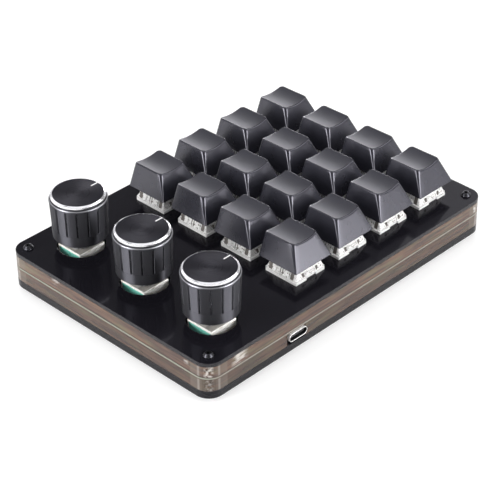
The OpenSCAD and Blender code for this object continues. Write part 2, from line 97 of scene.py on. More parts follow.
class Solid:
    """Rings of points, and the faces between them. A face is (points, finish, flat)."""

    def __init__(self):
        self.points = []
        self.faces = []

    def ring(self, points):
        first = len(self.points)
        self.points += [tuple(float(c) for c in p) for p in points]
        return list(range(first, first + len(points)))

    def level(self, loop, z):
        """A loop of (x, y) at one height."""
        return self.ring([(x, y, z) for x, y in loop])

    def band(self, low, high, finish=0, closed=True):
        n = len(low)
        for i in range(n if closed else n - 1):
            j = (i + 1) % n
            self.faces.append(((low[i], low[j], high[j], high[i]), finish, False))

    def skin(self, rings, finish=0, closed=True):
        for low, high in zip(rings, rings[1:]):
            self.band(low, high, finish, closed)

    def tip(self, ring, point, finish=0):
        for i, p in enumerate(ring):
            self.faces.append(((p, ring[(i + 1) % len(ring)], point), finish, False))

    def cap(self, loops, facing, finish=0):
        """A flat face inside the first loop and outside the others."""
        ids = [i for loop in loops for i in loop]
        corners = [[Vector(self.points[i]) for i in loop] for loop in loops]
        toward = Vector(facing)
        for tri in tessellate_polygon(corners):
            a, b, c = (ids[t] for t in tri)
            pa, pb, pc = (Vector(self.points[i]) for i in (a, b, c))
            if (pb - pa).cross(pc - pa).dot(toward) < 0:
                b, c = c, b
            self.faces.append(((a, b, c), finish, True))

    def add(self, other, at=(0, 0, 0), turn=None, finish=None):
        first = len(self.points)
        for p in other.points:
            q = turn @ Vector(p) if turn else Vector(p)
            self.points.append(tuple(q + Vector(at)))
        for ids, f, flat in other.faces:
            self.faces.append((tuple(i + first for i in ids), f if finish is None else finish, flat))

    def mesh(self, name, finishes, angle=31):
        """The mesh. Its edges are sharp where the faces turn by more than the angle."""
        mesh = bpy.data.meshes.new(name)
        scaled = [tuple(c * MM for c in p) for p in self.points]
        mesh.from_pydata(scaled, [], [f[0] for f in self.faces])
        mesh.polygons.foreach_set("material_index", [f[1] for f in self.faces])
        mesh.polygons.foreach_set("use_smooth", [not f[2] for f in self.faces])
        bm = bmesh.new()
        bm.from_mesh(mesh)
        bmesh.ops.recalc_face_normals(bm, faces=bm.faces)
        bm.to_mesh(mesh)
        bm.free()
        mesh.set_sharp_from_angle(angle=math.radians(angle))
        for finish in finishes:
            mesh.materials.append(finish.material)
        return mesh


def place(name, mesh, body, node, at=(0, 0, 0)):
    piece = bpy.data.objects.new(name, mesh)
    scene.collection.objects.link(piece)
    piece.location = [c * MM for c in at]
    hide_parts(node)
    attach(piece, body)


def circle(r, n, x=0.0, y=0.0):
    angles = [2 * math.pi * i / n for i in range(n)]
    return [(x + r * math.cos(a), y + r * math.sin(a)) for a in angles]


def rectangle(hx, hy, r=0.0, n=6, x=0.0, y=0.0):
    """A rectangle run round anticlockwise, with rounded corners."""
    if r <= 0:
        return [(x - hx, y - hy), (x + hx, y - hy), (x + hx, y + hy), (x - hx, y + hy)]
    loop = []
    for sx, sy, start in QUARTERS:
        for i in range(n + 1):
            a = math.radians(start + 90 * i / n)
            loop.append((x + sx * (hx - r) + r * math.cos(a), y + sy * (hy - r) + r * math.sin(a)))
    return loop


def moved(loop, d):
    """A loop moved to its left by d, which is into the solid for an outline and for a hole alike."""
    p = np.array(loop, float)
    a = p - np.roll(p, 1, 0)
    b = np.roll(p, -1, 0) - p
    a /= np.linalg.norm(a, axis=1)[:, None]
    b /= np.linalg.norm(b, axis=1)[:, None]
    na = np.stack([-a[:, 1], a[:, 0]], 1)
    nb = np.stack([-b[:, 1], b[:, 0]], 1)
    return p + d * (na + nb) / (1 + (na * nb).sum(1))[:, None]


def plate(outline, holes, z0, z1, edge, side=0):
    """A flat plate with a rounded edge all round it and round its holes. Side is the edges' finish."""
    s = Solid()
    mid = MIDWAY * edge
    steps = [(0, edge + SUPPORT), (0, edge), (mid, mid), (edge, 0), (edge + SUPPORT, 0)]
    levels = [(z0 + h, d) for h, d in steps] + [(z1 - h, d) for h, d in reversed(steps)]
    feet, tops = [], []
    for loop in [outline] + [list(reversed(h)) for h in holes]:
        rings = [s.level(moved(loop, d), z) for z, d in levels]
        s.skin(rings, side)
        feet.append(rings[0])
        tops.append(rings[-1])
    s.cap(feet, DOWN)
    s.cap(tops, UP)
    return s


def block(hx, hy, z0, z1, edge, x=0.0, y=0.0, r=0.0):
    return plate(rectangle(hx, hy, r, 4, x, y), [], z0, z1, edge)


def eased(path, radii, steps=3):
    """A path whose corners are rounded. The radii are by the corner's place in the path."""
    # a rounding and its support take no more than these shares of the legs beside it
    most, furthest = 0.45, 0.48
    out = []
    for i, p in enumerate(path):
        p = np.array(p, float)
        if i not in radii:
            out.append(tuple(p))
            continue
        a = np.array(path[i - 1], float) - p
        b = np.array(path[i + 1], float) - p
        la, lb = np.linalg.norm(a), np.linalg.norm(b)
        a, b = a / la, b / lb
        half = math.acos(max(-1, min(1, float(a @ b)))) / 2
        back = min(radii[i] / math.tan(half), most * la, most * lb)
        out.append(tuple(p + a * min(back + SUPPORT, furthest * la)))
        for k in range(steps + 1):
            t = k / steps
            out.append(tuple((1 - t) ** 2 * (p + a * back) + 2 * t * (1 - t) * p + t * t * (p + b * back)))
        out.append(tuple(p + b * min(back + SUPPORT, furthest * lb)))
    return out


def turned(path, n, closed=False):
    """A path of (r, z) turned round Z. It closes on the axis where the path ends there."""
    s = Solid()
    rings = [s.level(circle(r, n), z) if r > 0 else s.ring([(0, 0, z)]) for r, z in path]
    pairs = list(zip(rings, rings[1:]))
    if closed:
        pairs.append((rings[-1], rings[0]))
    for a, b in pairs:
        if len(a) == 1:
            s.tip(b, a[0])
        elif len(b) == 1:
            s.tip(a, b[0])
        else:
            s.band(a, b)
    return s


# Finishes

def shade(hexes):
    """A colour as it looks on a screen, as the shader's linear numbers."""
    out = []
    for i in (0, 2, 4):
        c = int(hexes[i:i + 2], 16) / 255
        out.append(c / 12.92 if c <= 0.04045 else ((c + 0.055) / 1.055) ** 2.4)
    return (*out, 1)


class Nodes:
    """A node tree, and short ways to add to it. A value is a number or another node's output."""

    def __init__(self, tree):
        self.tree = tree

    def node(self, kind, inputs=None, **settings):
        n = self.tree.nodes.new(f"ShaderNode{kind}")
        for key, value in settings.items():
            setattr(n, key, value)
        for key, value in (inputs or {}).items():
            self.put(n.inputs[key], value)
        return n

    def put(self, socket, value):
        if isinstance(value, bpy.types.NodeSocket):
            self.tree.links.new(value, socket)
        else:
            socket.default_value = value

    def calc(self, operation, *values):
        return self.node("Math", dict(enumerate(values)), operation=operation).outputs[0]

    def product(self, *values):
        return reduce(lambda a, b: self.calc("MULTIPLY", a, b), values)

    def largest(self, *values):
        return reduce(lambda a, b: self.calc("MAXIMUM", a, b), values)

    def apart(self, value, at):
        """How far a coordinate is from a place in millimetres."""
        return self.calc("ABSOLUTE", self.calc("SUBTRACT", value, at * MM))

    def between(self, factor, low, high, start=0.3, end=0.7):
        """A value that goes from low to high as the factor goes from start to end."""
        inputs = {"Value": factor, "From Min": start, "From Max": end, "To Min": low, "To Max": high}
        return self.node("MapRange", inputs).outputs[0]

    def mix(self, factor, a, b):
        """A mix of two colours, as on a screen, as linear numbers or from an output."""
        n = self.node("Mix", {0: factor}, data_type="RGBA")
        for socket, value in ((n.inputs[6], a), (n.inputs[7], b)):
            self.put(socket, shade(value) if isinstance(value, str) else value)
        return n.outputs[2]

    def coords(self, kind="Object"):
        return self.node("TexCoord").outputs[kind]

    def parts(self, vector):
        return self.node("SeparateXYZ", {"Vector": vector}).outputs

    def rays(self, *kinds):
        """One for rays of these kinds."""
        path = self.node("LightPath").outputs
        return self.largest(*(path[f"Is {kind} Ray"] for kind in kinds))


class Finish(Nodes):
    """A material with a Principled shader, and helpers for what varies over it."""

    def __init__(self, name):
        self.material = bpy.data.materials.new(name)
        self.material.use_nodes = True
        super().__init__(self.material.node_tree)
        self.shader = self.tree.nodes["Principled BSDF"]

    def set(self, **values):
        for key, value in values.items():
            self.put(self.shader.inputs[key.replace("_", " ")], value)
        return self

    def faces(self):
        """Which way a face looks, as its normal's x, y and z."""
        return self.parts(self.node("NewGeometry").outputs["True Normal"])

    def noise(self, size, detail=2.0, stretch=(1, 1, 1), lean=0):
        """Noise with patches of about that size in millimetres, turned round Y by the lean."""
        turn = (0, math.radians(lean), 0)
        at = self.node("Mapping", {"Vector": self.coords(), "Rotation": turn, "Scale": stretch})
        inputs = {"Vector": at.outputs[0], "Scale": 1 / (size * MM), "Detail": detail}
        return self.node("TexNoise", inputs).outputs["Fac"]

    def bump(self, height, depth, strength=1.0):
        """A relief of that depth in millimetres."""
        relief = self.node("Bump", {"Height": height, "Distance": depth * MM, "Strength": strength})
        return self.set(Normal=relief.outputs[0])

    def lathe(self, share):
        """Highlights drawn out by fine marks round Z."""
        tangent = self.node("Tangent", direction_type="RADIAL", axis="Z").outputs[0]
        return self.set(Anisotropic=share, Anisotropic_Rotation=0.25, Tangent=tangent)


def simple(name, dark, light, rough, patch, metal=0.0, grain=None, stretch=(1, 1, 1), rough_patch=None):
    """A finish that wanders between two colours and roughnesses. Grain is a relief's depth and size."""
    f = Finish(name)
    f.set(Base_Color=f.mix(f.noise(patch, 3, stretch), dark, light), Metallic=metal,
          Roughness=f.between(f.noise(rough_patch or patch / 3, 3, stretch), *rough))
    if grain:
        depth, size = grain
        f.bump(f.noise(size), depth)
    return f


# what the black parts mirror is tinted a little blue
DECK_TINT = (0.92, 0.91, 1.0, 1.0)
KEYCAP_TINT = (0.93, 0.92, 1.0, 1.0)

dark_acrylic = simple("dark_acrylic", "151419", "1a191e", (0.08, 0.13), 20)
dark_acrylic.set(Specular_IOR_Level=0.25, Specular_Tint=DECK_TINT)
plate_edge = simple("plate_edge", "1b1a1d", "2b292d", (0.2, 0.35), 9, stretch=(1, 1, 4))
plate_edge.set(Specular_IOR_Level=0.35)
base_edge = simple("base_edge", "131216", "1c1b1f", (0.2, 0.35), 9, stretch=(1, 1, 4))
base_edge.set(Specular_IOR_Level=0.25)


class ClearWalls(Finish):
    """The clear frames, with painted glints where the pillars show through them and where they catch light,
    and painted shade near the pillars.
    """

    def __init__(self):
        super().__init__("clear_acrylic")
        self.at = self.parts(self.coords())
        faces = self.faces()
        sides = [self.between(self.calc("ABSOLUTE", faces[i]), 0, 1, 0.85, 0.95) for i in (0, 1)]
        # each pair of sides, by the axis that runs along it
        self.along_y, self.along_x = sides
        self.in_upper = self.between(self.at[2], 0, 1, BOARD_FOOT * MM, BOARD_TOP * MM)
        # how far outside the case's sides a point is, which is negative within it
        self.beyond = [self.calc("SUBTRACT", self.apart(self.at[i], CASE_AT[i]), CASE_HALF[i] * MM)
                       for i in (0, 1)]
        off_diagonal = self.calc("ABSOLUTE", self.calc("SUBTRACT", *self.beyond))
        self.near_pillar = self.between(off_diagonal, 1, 0, 1.0 * MM, 2.8 * MM)
        # painted glints of the pillars and of caught light, mixed into the colour as near white
        painted_glints = self.largest(self.corners(), self.pillar_glint_bars(), self.glints())
        self.set(Base_Color=self.mix(painted_glints, self.brown(), "efe9e2"), Transmission_Weight=0.2,
                 Roughness=self.between(self.noise(4, 3, (1, 1, 6)), 0.06, 0.16))

    def on_sides(self, by_x, by_y):
        """A mask that goes by x on the sides along X, and by y on those along Y."""
        return self.largest(self.product(self.along_y, by_y), self.product(self.along_x, by_x))

    def corners(self):
        """Painted glints of the pillars as they show through the round corners, broken up."""
        broken = self.between(self.noise(1.3, 3, (1, 1, 1.4)), 0, 1, 0.44, 0.62)
        by_layer = self.between(self.in_upper, 0.3, 0.75, 0, 1)
        return self.product(self.near_pillar, by_layer, broken)

    def pillar_glint_bars(self):
        """Painted glints of the pillars, as a faint upright bar near both ends of each side."""
        from_pillar = [self.calc("ABSOLUTE", self.calc("ADD", d, INSET * MM)) for d in self.beyond]
        pillar_glint_bars = [self.between(d, 0.2, 0, 0.1 * MM, 0.7 * MM) for d in from_pillar]
        return self.on_sides(*pillar_glint_bars)

    def glints(self):
        """Painted glints of light caught in the upper layer, in slanting strokes."""
        strokes = self.between(self.noise(1.5, 2, (0.35, 0.35, 1.3), -28), 0, 0.8, 0.42, 0.6)
        caught = []
        # the sides and their axis, and the glint's place there, half length, lowest part and strength
        for side, axis, at, half, low, bright in (
                (self.along_x, 0, -57.3, 4.4, 11, 1), (self.along_x, 0, 66.2, 1.1, 11, 0.9),
                (self.along_y, 1, -39.5, 1.4, 13, 0.5), (self.along_y, 1, 25.6, 2.6, 13, 0.6)):
            along = self.between(self.apart(self.at[axis], at), bright, 0, 0.3 * half * MM, half * MM)
            above = self.between(self.at[2], 0, 1, (low - 0.5) * MM, (low + 0.5) * MM)
            caught.append(self.product(side, along, above))
        return self.product(self.largest(*caught), self.in_upper, strokes)

    def brown(self):
        """The walls' brown, streaked along them and darker in the lower layer, with painted shade near the
        pillars.
        """
        streaks = self.between(self.noise(16, 3, (1, 1, 14)), 0, 1, 0.38, 0.62)
        tinted = self.between(self.noise(11, 2, (1, 1, 5)), 0, 1, 0.5, 0.64)
        warm, cool = self.mix(streaks, "54403a", "775b4a"), self.mix(streaks, "524a3e", "75674f")
        walls = self.mix(self.between(self.in_upper, 0.42, 0, 0, 1), self.mix(tinted, warm, cool), "3d302b")
        # the solid corners are paler than the walls between them, and painted shade darkens parts of them
        # near the pillars
        ends = [self.between(d, 0, 0.45, -9 * MM, -8.4 * MM) for d in self.beyond]
        solid = self.on_sides(*ends)
        patches = self.between(self.noise(1.1, 2, (1, 1, 0.8)), 0, 0.7, 0.54, 0.6)
        painted_pillar_shade = self.product(self.near_pillar, patches)
        return self.mix(painted_pillar_shade, self.mix(solid, walls, "7c7066"), "2a2624")


def board_finish():
    """Dark green faces, and a cut edge with a pale core between two darker rinds."""
    f = Finish("circuit_board")
    faces = f.faces()
    short_side, level = (f.between(f.calc("ABSOLUTE", faces[i]), 0, 1, 0.4, 0.6) for i in (0, 2))
    from_middle = f.apart(f.parts(f.coords())[2], (BOARD_FOOT + BOARD_TOP) / 2)
    rind = f.between(from_middle, 0, 1, 0.12 * MM, 0.28 * MM)
    # the cut edge is greener on the short sides than on the long ones
    core = f.mix(short_side, "8f8b80", "8b9586")
    edge = f.mix(rind, f.mix(f.between(f.noise(3), 0, 0.4), core, "a9a99d"), "5b4d44")
    return f.set(Base_Color=f.mix(level, edge, f.mix(f.noise(8), "0e1a16", "17241e")),
                 Roughness=f.between(f.noise(2), 0.35, 0.55))


def encoder_metal_finish():
    """Brushed sheet with painted light, paler on its upright sides than on top."""
    f = Finish("encoder_metal")
    brushed = f.between(f.noise(1.1, 3, (0.3, 0.3, 1.3)), 0, 1, 0.4, 0.54)
    # one sheet in a painted lit copy for the sides and a painted darker copy for the top
    sides, top = f.mix(brushed, "cfc8bb", "fffefa"), f.mix(brushed, "8f8c86", "aaa69f")
    f.set(Base_Color=f.mix(f.between(f.faces()[2], 0, 1, 0.8, 0.95), sides, top),
          Roughness=f.between(brushed, 0.5, 0.3, 0, 1))
    return f.bump(brushed, 0.02)


def switch_clear_finish():
    """Milky plastic with darker patches, painted shade where the inside shows through."""
    f = Finish("switch_clear")
    see_through_shade = f.between(f.noise(0.8, 3, (1, 1, 1.5)), 0, 1, 0.55, 0.63)
    return f.set(Base_Color=f.mix(see_through_shade, "fdfcfb", "857f77"),
                 Roughness=f.between(f.noise(0.8), 0.1, 0.25))


def spring_finish():
    """Steel with dark bands, painted shade as in the gaps between coils."""
    f = Finish("spring_steel")
    coil = f.node("TexWave", {"Vector": f.coords(), "Scale": 1 / (2.8 * MM), "Distortion": 0.0},
                  bands_direction="Z").outputs["Fac"]
    # the dark bands are painted shade between the coils
    bands = f.between(coil, 0, 1, 0.35, 0.6)
    f.set(Base_Color=f.mix(bands, "2a2b2d", "c4c6c9"), Metallic=1.0, Roughness=0.25)
    return f.bump(coil, 0.2)


def keycap_finish():
    """Smooth sides, smoother yet at the upright corners, and a finely grained top."""
    f = Finish("keycap_plastic")
    faces = f.faces()
    on_top = f.between(faces[2], 0, 1, 0.925, 0.955)
    both_ways = f.calc("ABSOLUTE", f.product(faces[0], faces[1]))
    sides = f.between(both_ways, 0.27, 0.11, 0.08, 0.16)
    f.set(Base_Color=f.mix(f.noise(5, 3), "202026", "282830"), Roughness=f.between(on_top, sides, 0.46, 0, 1),
          Specular_IOR_Level=0.6, Specular_Tint=KEYCAP_TINT)
    return f.bump(f.product(f.noise(0.25), on_top), 0.006, 0.5)


def anodised_finish():
    f = Finish("knob_aluminium")
    f.set(Base_Color=f.mix(f.noise(3, 3, (1, 1, 0.15)), "3a3a3e", "4e4e52"), Metallic=0.9,
          Roughness=f.between(f.noise(1.2, 3, (1, 1, 0.2)), 0.4, 0.46))
    return f.lathe(1.0).bump(f.noise(0.15, 2, (1, 1, 0.1)), 0.004, 0.5)


def spun_finish():
    """Fine rings round the middle."""
    f = Finish("knob_spun_top")
    ring_width = 0.12
    x, y, _ = f.parts(f.coords())
    radius = f.calc("POWER", f.calc("ADD", f.product(x, x), f.product(y, y)), 0.5)
    turns = f.node("TexNoise", {"W": radius, "Scale": 1 / (ring_width * MM), "Detail": 2.0},
                   noise_dimensions="1D").outputs["Fac"]
    f.set(Base_Color=f.mix(turns, "2b2a30", "4b4a52"), Metallic=0.95, Roughness=f.between(turns, 0.26, 0.36))
    return f.lathe(0.75).bump(turns, 0.004, 0.35)


clear_acrylic = ClearWalls()
board = board_finish()
rubber = simple("rubber", "1b1b1c", "262627", (0.75, 0.9), 2, grain=(0.03, 0.2))
pillar_metal = simple("pillar_metal", "b9b3a6", "dcd8cf", (0.16, 0.3), 1.2, metal=1)
screw_metal = simple("screw_metal", "343437", "48484c", (0.2, 0.32), 0.8, metal=0.9, grain=(0.004, 0.1))
# the screws' hexagon sockets, painted dark as shade
screw_recess_shade = simple("screw_recess_shade", "070708", "101012", (0.3, 0.45), 0.8, metal=0.4)
encoder_metal = encoder_metal_finish()
sheet_metal = simple("sheet_metal", "c9c8c6", "ecebe9", (0.3, 0.45), 1.5, metal=0.6, stretch=(1, 5, 1))
# the inside of the socket's metal shell, painted dark as shade
socket_inside_shade = simple("socket_inside_shade", "101012", "1c1c1e", (0.35, 0.5), 1, metal=0.3)
black_plastic = simple("black_plastic", "141416", "1f1f22", (0.4, 0.6), 2, grain=(0.01, 0.15))

switch_plastic = simple("switch_plastic", "eeedec", "fbfaf9", (0.12, 0.3), 1.6)
switch_clear = switch_clear_finish()
# the windows and marks in the switch covers, painted dark as shade
switch_recess_shade = simple("switch_recess_shade", "4a4541", "7d7771", (0.3, 0.5), 0.8)
contact_metal = simple("contact_metal", "b3904a", "cfae66", (0.2, 0.35), 1, metal=1)
stem_plastic = simple("stem_plastic", "2f5f96", "3f72aa", (0.3, 0.45), 2)
encoder_plastic = simple("encoder_plastic", "78e0ca", "94ecda", (0.3, 0.5), 2.5, grain=(0.01, 0.2))
shaft_metal = simple("shaft_metal", "8f9093", "b5b6b9", (0.2, 0.34), 1.2, metal=1)
spring_steel = spring_finish()

keycap_plastic = keycap_finish()
# the rounding between a keycap's sides and its top
keycap_rim = simple("keycap_rim", "202026", "282830", (0.1, 0.16), 5)
keycap_rim.set(Specular_IOR_Level=0.6, Specular_Tint=KEYCAP_TINT)

anodised = anodised_finish()
# the same anodising as the knob, painted darker as shade in the grooves
groove_shade_paint = simple("knob_groove_shade", "232326", "2f2f33", (0.25, 0.35), 2, metal=0.9)
knob_edge = simple("knob_edge", "86868a", "a0a0a4", (0.3, 0.38), 3, metal=0.9, rough_patch=1.2).lathe(0.6)
polished = simple("knob_ring", "d6d6d8", "f0f0f2", (0.16, 0.26), 2, metal=0.85, rough_patch=1)
spun = spun_finish()
pointer_paint = simple("pointer_paint", "e6e6e6", "f6f6f6", (0.35, 0.5), 1)

# the CAD pieces that show as they are
CARRIED = {
    "circuit_board": board, "board_chips": black_plastic, "usb_c_tongue": black_plastic,
    "switch_contacts": contact_metal, "switch_springs": spring_steel, "encoder_pins": contact_metal,
}
CARRIED.update({f"key_stem_r{r}_c{c}": stem_plastic for r, c in KEY_AT})
CARRIED.update({f"encoder_shaft_{k}": shaft_metal for k in KNOBS})
CARRIED.update({f"encoder_plunger_{k}": black_plastic for k in KNOBS})
for node, finish in CARRIED.items():
    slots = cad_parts[node].data.materials
    if len(slots) == 0:
        slots.append(finish.material)
    for i in range(len(slots)):
        slots[i] = finish.material


# Case

CORNER_R = 6
WALL = 5
PAD_R = 4.2
OUTLINE = rectangle(*CASE_HALF, CORNER_R, 12, *CASE_AT)


def corners(inset):
    return [(CASE_AT[0] + sx * (CASE_HALF[0] - inset), CASE_AT[1] + sy * (CASE_HALF[1] - inset))
            for sx in SIDES for sy in SIDES]


CORNERS = corners(INSET)
SCREW_HOLE_R = 1.1
PILLAR_HOLE_R = 2.1
SCREW_HOLES = [circle(SCREW_HOLE_R, 24, x, y) for x, y in CORNERS]
PILLAR_HOLES = [circle(PILLAR_HOLE_R, 24, x, y) for x, y in CORNERS]
KEY_HOLE = 7
KEY_HOLES = [rectangle(KEY_HOLE, KEY_HOLE, 0.4, 3, x, y) for x, y in KEY_AT.values()]
KNOB_HOLE_R = 8.8
KNOB_HOLES = [circle(KNOB_HOLE_R, 72, x, y) for x, y in KNOB_AT.values()]
# the roundings of the layers' edges
TOP_EDGE = 0.12
BASE_EDGE = 0.18
FRAME_EDGE = 0.15


def case_piece(node, solid, finishes, angle=31, at=(0, 0, 0)):
    name = f"{node}_body"
    place(name, solid.mesh(name, finishes, angle), "case", node, at)


def layer(node, outline, holes, edge, finishes):
    """One of the case's flat layers. A second finish is for its edges."""
    case_piece(node, plate(outline, holes, *heights(node), edge, len(finishes) - 1), finishes)


def frame_inside():
    """The inner outline of a clear frame: straight walls with a round pad in each corner."""
    loop = []
    for sx, sy, start in ((1, 1, 270), (-1, 1, 0), (-1, -1, 90), (1, -1, 180)):
        x, y = CASE_AT[0] + sx * (CASE_HALF[0] - WALL), CASE_AT[1] + sy * (CASE_HALF[1] - WALL)
        arc = [math.radians(start - 90 * i / 10) for i in range(11)]
        loop += [(x + PAD_R * math.cos(a), y + PAD_R * math.sin(a)) for a in arc]
    return loop


def open_frame():
    """The lower frame's outline, which runs in at the socket's gap and round the inside."""
    gap = 0.15
    half = half_size("usb_c_shell")[0] + gap
    left, right = (middle("usb_c_shell")[0] + side * half for side in SIDES)
    inner = CASE_FRONT + WALL
    inside = frame_inside()
    on_front = [i for i, p in enumerate(inside) if abs(p[1] - inner) < 0.01]
    start_in = max(on_front, key=lambda i: inside[i][0])
    start_out = next(i for i, p in enumerate(OUTLINE) if p[0] > CASE_AT[0] and p[1] < CASE_AT[1])
    loop = [(right, CASE_FRONT)] + OUTLINE[start_out:] + OUTLINE[:start_out]
    loop += [(left, CASE_FRONT), (left, inner)]
    loop += list(reversed(inside[start_in:] + inside[:start_in]))
    return loop + [(right, inner)]


def feet():
    r, slope, edge, inset = 5, 0.6, 0.5, 15
    foot = turned(eased([(0, 0), (r - slope, 0), (r, CASE_FOOT), (0, CASE_FOOT)], {1: edge}), 40)
    s = Solid()
    for x, y in corners(inset):
        s.add(foot, (x, y, 0))
    return s


def pillars():
    """In each corner a threaded pillar under the board, a stud and a plain pillar over it."""
    r, stud_r, chamfer = 2.0, 1, 0.2
    root_r, crest_r, end_r, step = 1.78, 1.98, 1.75, 0.2
    foot, board_foot = heights("lower_frame")
    board_top, top = heights("upper_frame")
    turns = int((board_foot - foot - 1.5 * step) / step)
    path = [(0, foot), (end_r, foot)]
    path += [(crest_r if i % 2 else root_r, foot + step + i * step) for i in range(turns)]
    path += [(end_r, board_foot), (stud_r, board_foot), (stud_r, board_top), (r - chamfer, board_top),
             (r, board_top + chamfer), (r, top - chamfer), (r - chamfer, top), (0, top)]
    s = Solid()
    for x, y in CORNERS:
        s.add(turned(path, 32), (x, y, 0))
    return s


def screw(length):
    """A button head with a hexagon socket, its seat at zero, over a shank."""
    n = 36
    shank_r, head_r, side_h, crown_r, head_h = 0.999, 1.88, 0.45, 0.9, 1.3
    hexagon_r, floor_h, lead_in, lead_share = 0.7, 0.55, 0.06, 1.06
    s = Solid()
    path = eased([(shank_r, -length), (shank_r, 0), (head_r, 0), (head_r, side_h), (1.15, head_h - 0.02),
                  (crown_r, head_h)], {3: 0.5, 4: 0.4}, 4)
    rings = [s.level(circle(r, n), z) for r, z in path]
    s.skin(rings)
    hexagon = []
    for i in range(n):
        a = 360 / n * i
        r = hexagon_r * math.cos(math.pi / 6) / math.cos(math.radians((a % 60) - 30))
        hexagon.append((r * math.cos(math.radians(a)), r * math.sin(math.radians(a))))
    mouth = s.level([(x * lead_share, y * lead_share) for x, y in hexagon], head_h)
    lip = s.level(hexagon, head_h - lead_in)
    floor = s.level(hexagon, floor_h)
    s.skin([rings[-1], mouth])
    # the socket's walls and floor take the painted shade
    s.skin([mouth, lip, floor], 1)
    s.cap([floor], UP, 1)
    s.cap([rings[0]], DOWN)
    return s


def screws():
    """In each corner one on the deck, each at another angle, and one under the base."""
    deck_length, base_length = 3.7, 5.2
    upside_down = Matrix.Rotation(math.pi, 3, "X")
    s = Solid()
    for i, (x, y) in enumerate(CORNERS):
        s.add(screw(deck_length), (x, y, DECK), Matrix.Rotation(math.radians(20 + 17 * i), 3, "Z"))
        s.add(screw(base_length), (x, y, CASE_FOOT), upside_down)
    return s


holes = SCREW_HOLES + KEY_HOLES + KNOB_HOLES
layer("top_plate", OUTLINE, holes, TOP_EDGE, [dark_acrylic, plate_edge])
layer("bottom_plate", OUTLINE, SCREW_HOLES, BASE_EDGE, [dark_acrylic, base_edge])
holes = [frame_inside()] + PILLAR_HOLES
layer("upper_frame", OUTLINE, holes, FRAME_EDGE, [clear_acrylic])
layer("lower_frame", open_frame(), PILLAR_HOLES, FRAME_EDGE, [clear_acrylic])
case_piece("rubber_feet", feet(), [rubber])
case_piece("corner_pillars", pillars(), [pillar_metal])
case_piece("corner_screws", screws(), [screw_metal, screw_recess_shade], 40)


# Socket

def slot_loop(hx, hz, n=12):
    loop = []
    for side, start in ((1, -90), (-1, 90)):
        for i in range(n + 1):
            a = math.radians(start + 180 * i / n)
            loop.append((side * (hx - hz) + hz * math.cos(a), hz * math.sin(a)))
    return loop


def usb_shell(half_width, half_height):
    """A sheet tube that runs back from y = 0, with a round lip there."""
    length, sheet, edge, lip, lip_mid = 7.3, 0.3, 0.02, 0.11, 0.04
    # each ring's place, and how far it stands in from the outside
    outside = [(length, edge), (length - edge, 0), (lip + SUPPORT, 0), (lip, 0), (lip_mid, lip_mid), (0, lip)]
    inside = [(y, sheet - d) for y, d in reversed(outside)]
    s = Solid()
    rings = []
    for y, d in outside + inside:
        rings.append(s.ring([(x, y, z) for x, z in slot_loop(half_width - d, half_height - d)]))
    past_lip = len(outside) + 2
    s.skin(rings[:past_lip + 1])
    # the inside faces take the painted shade
    s.skin(rings[past_lip:] + [rings[0]], 1)
    return s


hx, hy, hz = half_size("usb_c_shell")
x, y, z = middle("usb_c_shell")
case_piece("usb_c_shell", usb_shell(hx, hz), [sheet_metal, socket_inside_shade], at=(x, y - hy, z))


# Keycaps

CAP_HALF = 9.05
CAP_H = 9.2
# about the wall's length along its slope
CAP_SLANT = 9.9
TOP_HX = 6.15
TOP_HY = 6.8
TOP_BACK = 2.1
FOOT_R = 0.4
TOP_R = 1.6
LEAST_R = 0.15
FOOT_EDGE = 0.14
RIM = 0.5
CEILING = 6.6
CAP_LIFT = 5.9
SAG = 1.0
DISH_HALF = TOP_HX + 0.4
DISH_R = (DISH_HALF ** 2 + SAG ** 2) / (2 * SAG)
SLOPE = math.tan(math.radians(-1))


def cap_table(corner=10, sides=7):
    """How each point of a keycap's ring depends on the ring's half sides and corner radius."""
    corners = []
    for sx, sy, start in QUARTERS:
        arc = [math.radians(start + 90 * i / corner) for i in range(corner + 1)]
        corners.append([(sx, sy, math.cos(a), math.sin(a)) for a in arc])
    table = []
    for k, arc in enumerate(corners):
        table += [(*p, *p, 0) for p in arc]
        following = corners[(k + 1) % 4][0]
        table += [(*arc[-1], *following, t / sides) for t in range(1, sides)]
    return np.array(table, float)


CAP = cap_table()


def cap_ring(hx, hy, r, back):
    hx, hy, r = (np.broadcast_to(v, len(CAP)) for v in (hx, hy, r))
    near, far = ([CAP[:, k + i] * (h - r) + CAP[:, k + i + 2] * r for i, h in enumerate((hx, hy))]
                 for k in (0, 4))
    t = CAP[:, 8]
    x, y = ((1 - t) * a + t * b for a, b in zip(near, far))
    return np.stack([x, y + back], 1)


def cap_wall(share, inset=0.0):
    """Points on the keycap's outer wall at a share of its height."""
    share = np.broadcast_to(np.asarray(share, float), len(CAP))
    hx, hy = (CAP_HALF + (top - CAP_HALF) * share - inset for top in (TOP_HX, TOP_HY))
    r = np.maximum(FOOT_R + (TOP_R - FOOT_R) * share - inset, LEAST_R)
    ring = cap_ring(hx, hy, r, TOP_BACK * share)
    z = CAP_H * share + (ring[:, 1] - TOP_BACK * share) * SLOPE * share
    return np.column_stack([ring, z])


def dish(xy):
    return CAP_H - SAG + DISH_R - np.sqrt(DISH_R ** 2 - xy[:, 0] ** 2) + (xy[:, 1] - TOP_BACK) * SLOPE


def dish_edge():
    """The share of the wall's height where each of its points meets the dish."""
    low, high = np.full(len(CAP), 0.5), np.full(len(CAP), 1.1)
    for _ in range(40):
        mid = (low + high) / 2
        p = cap_wall(mid)
        under = p[:, 2] < dish(p[:, :2])
        low, high = np.where(under, mid, low), np.where(under, high, mid)
    return (low + high) / 2


